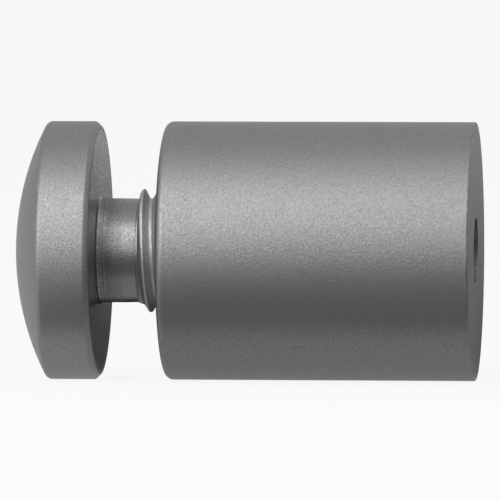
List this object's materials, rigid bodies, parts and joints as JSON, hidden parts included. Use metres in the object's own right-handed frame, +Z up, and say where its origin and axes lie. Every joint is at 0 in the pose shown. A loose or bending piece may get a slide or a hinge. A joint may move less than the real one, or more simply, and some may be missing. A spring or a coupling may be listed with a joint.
{
  "type": "glass panel standoff",
  "caption": "Round stainless steel panel standoff: a cylindrical barrel for the wall and a domed cap screw that clamps a drilled panel in the gap between them.",
  "frame": {"origin": "centre of the wall face, on the axis of the barrel", "axes": "+X along the axis out of the wall face, into the wall; the cap is towards -X; +Z up; +Y away from the front view"},
  "size_m": [0.0445, 0.025, 0.025],
  "materials": {
    "blasted_steel": "fine bead-blasted stainless steel, satin grey, with turned faces and a bright cut thread"
  },
  "bodies": {
    "barrel": {"barrel": "blasted_steel"},
    "cap_screw": {"cap_screw": "blasted_steel"}
  },
  "joints": [
    {"name": "cap_screw_travel", "type": "slide", "parent": "barrel", "child": "cap_screw", "axis": [-1, 0, 0], "range_m": [-0.00635, 0.015]}
  ]
}
